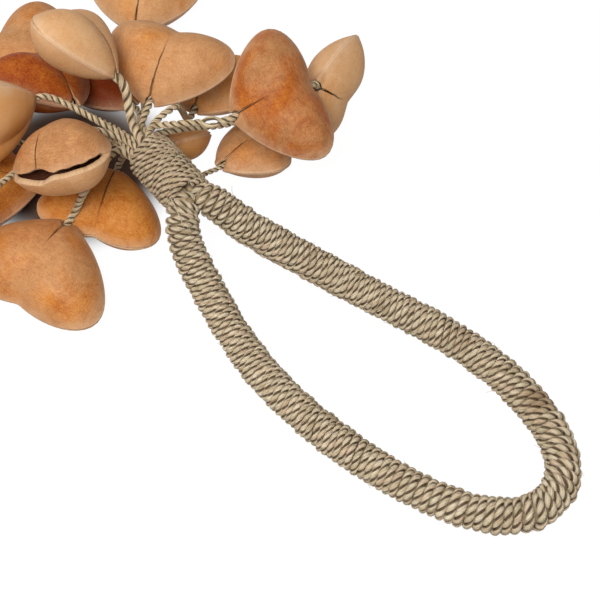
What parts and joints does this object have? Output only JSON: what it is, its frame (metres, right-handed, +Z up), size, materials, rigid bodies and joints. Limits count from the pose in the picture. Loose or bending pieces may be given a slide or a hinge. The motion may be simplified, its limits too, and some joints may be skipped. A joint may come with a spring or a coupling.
{
  "type": "seed pod shaker",
  "caption": "Hand shaker with a loop handle of wound straw rope, bound at its neck round strings that each carry a hollow nut shell, so the shells rattle together.",
  "frame": {"origin": "middle of the bounding box's bottom, on the table that the shaker lies on", "axes": "+X along the handle from the neck to the end of the loop, +Z up from the table"},
  "size_m": [0.2874, 0.173, 0.0705],
  "materials": {
    "straw_cord": "matt twisted straw cord, beige to khaki",
    "string_cord": "matt two-ply straw string, pale beige",
    "nut_shell": "satin dried nut shell, tan to orange-brown"
  },
  "bodies": {
    "handle": {"handle_core": "straw_cord", "right_leg_winding": "straw_cord", "end_bend_winding": "straw_cord", "left_leg_winding": "straw_cord", "neck_binding": "straw_cord", "string_bundle": "string_cord"},
    "pod_on_string_01": {"pod_01": "nut_shell", "string_01": "string_cord"},
    "pod_on_string_02": {"pod_02": "nut_shell", "string_02": "string_cord"},
    "pod_on_string_03": {"pod_03": "nut_shell", "string_03": "string_cord"},
    "pod_on_string_04": {"pod_04": "nut_shell", "string_04": "string_cord"},
    "pod_on_string_05": {"pod_05": "nut_shell", "string_05": "string_cord"},
    "pod_on_string_06": {"pod_06": "nut_shell", "string_06": "string_cord"},
    "pod_on_string_07": {"pod_07": "nut_shell", "string_07": "string_cord"},
    "pod_on_string_08": {"pod_08": "nut_shell", "string_08": "string_cord"},
    "pod_on_string_09": {"pod_09": "nut_shell", "string_09": "string_cord"},
    "pod_on_string_10": {"pod_10": "nut_shell", "string_10": "string_cord"},
    "pod_on_string_11": {"pod_11": "nut_shell", "string_11": "string_cord"},
    "pod_on_string_12": {"pod_12": "nut_shell", "string_12": "string_cord"},
    "pod_on_string_13": {"pod_13": "nut_shell", "string_13": "string_cord"},
    "pod_on_string_14": {"pod_14": "nut_shell", "string_14": "string_cord"},
    "pod_on_string_15": {"pod_15": "nut_shell", "string_15": "string_cord"},
    "pod_on_string_16": {"pod_16": "nut_shell", "string_16": "string_cord"},
    "pod_on_string_17": {"pod_17": "nut_shell", "string_17": "string_cord"},
    "pod_on_string_18": {"pod_18": "nut_shell", "string_18": "string_cord"}
  },
  "joints": [
    {"name": "pod_01_swing", "type": "hinge", "parent": "handle", "child": "pod_on_string_01", "pos_m": [-0.04251, -0.00806, 0.03029], "axis": [0, 0, 1], "range_deg": [0, 24]},
    {"name": "pod_02_lift", "type": "hinge", "parent": "handle", "child": "pod_on_string_02", "pos_m": [-0.04509, -0.00597, 0.03336], "axis": [-0.9857, -0.1684, 0], "range_deg": [0, 22]},
    {"name": "pod_03_lift", "type": "hinge", "parent": "handle", "child": "pod_on_string_03", "pos_m": [-0.04701, -0.00408, 0.03273], "axis": [-0.7274, 0.6862, 0], "range_deg": [0, 20]},
    {"name": "pod_04_lift", "type": "hinge", "parent": "handle", "child": "pod_on_string_04", "pos_m": [-0.04807, -0.00074, 0.02834], "axis": [0.0564, 0.9984, 0], "range_deg": [0, 14]},
    {"name": "pod_05_lift", "type": "hinge", "parent": "handle", "child": "pod_on_string_05", "pos_m": [-0.04459, 0.00058, 0.03599], "axis": [0.0636, 0.998, 0], "range_deg": [0, 32]},
    {"name": "pod_06_swing", "type": "hinge", "parent": "handle", "child": "pod_on_string_06", "pos_m": [-0.04486, 0.00496, 0.0304], "axis": [0, 0, 1], "range_deg": [-2, 6]},
    {"name": "pod_07_lift", "type": "hinge", "parent": "handle", "child": "pod_on_string_07", "pos_m": [-0.03993, 0.00536, 0.03267], "axis": [0.778, -0.6282, 0], "range_deg": [0, 40]},
    {"name": "pod_08_swing", "type": "hinge", "parent": "handle", "child": "pod_on_string_08", "pos_m": [-0.03988, 0.00563, 0.02814], "axis": [0, 0, 1], "range_deg": [0, 10]},
    {"name": "pod_09_swing", "type": "hinge", "parent": "handle", "child": "pod_on_string_09", "pos_m": [-0.04069, 0.00141, 0.02337], "axis": [0, 0, 1], "range_deg": [-24, 6]},
    {"name": "pod_10_swing", "type": "hinge", "parent": "handle", "child": "pod_on_string_10", "pos_m": [-0.04457, -0.00114, 0.02377], "axis": [0, 0, 1], "range_deg": [-4, 1]},
    {"name": "pod_11_swing", "type": "hinge", "parent": "handle", "child": "pod_on_string_11", "pos_m": [-0.04676, -0.00546, 0.03031], "axis": [0, 0, 1], "range_deg": [-2, 5]},
    {"name": "pod_12_swing", "type": "hinge", "parent": "handle", "child": "pod_on_string_12", "pos_m": [-0.04159, 0.00598, 0.03038], "axis": [0, 0, 1], "range_deg": [-6, 4]},
    {"name": "pod_13_swing", "type": "hinge", "parent": "handle", "child": "pod_on_string_13", "pos_m": [-0.04022, 0.00383, 0.02498], "axis": [0, 0, 1], "range_deg": [-9, 6]},
    {"name": "pod_14_swing", "type": "hinge", "parent": "handle", "child": "pod_on_string_14", "pos_m": [-0.04693, -0.00238, 0.02605], "axis": [0, 0, 1], "range_deg": [-3, 3]},
    {"name": "pod_15_lift", "type": "hinge", "parent": "handle", "child": "pod_on_string_15", "pos_m": [-0.0469, -0.00472, 0.02789], "axis": [-0.9738, 0.2276, 0], "range_deg": [0, 14]},
    {"name": "pod_16_swing", "type": "hinge", "parent": "handle", "child": "pod_on_string_16", "pos_m": [-0.04473, 0.00203, 0.02471], "axis": [0, 0, 1], "range_deg": [-8, 0]},
    {"name": "pod_17_swing", "type": "hinge", "parent": "handle", "child": "pod_on_string_17", "pos_m": [-0.04687, 0.00304, 0.02911], "axis": [0, 0, 1], "range_deg": [-7, 1]},
    {"name": "pod_18_swing", "type": "hinge", "parent": "handle", "child": "pod_on_string_18", "pos_m": [-0.04539, 0.00394, 0.02731], "axis": [0, 0, 1], "range_deg": [-10, 6]}
  ]
}
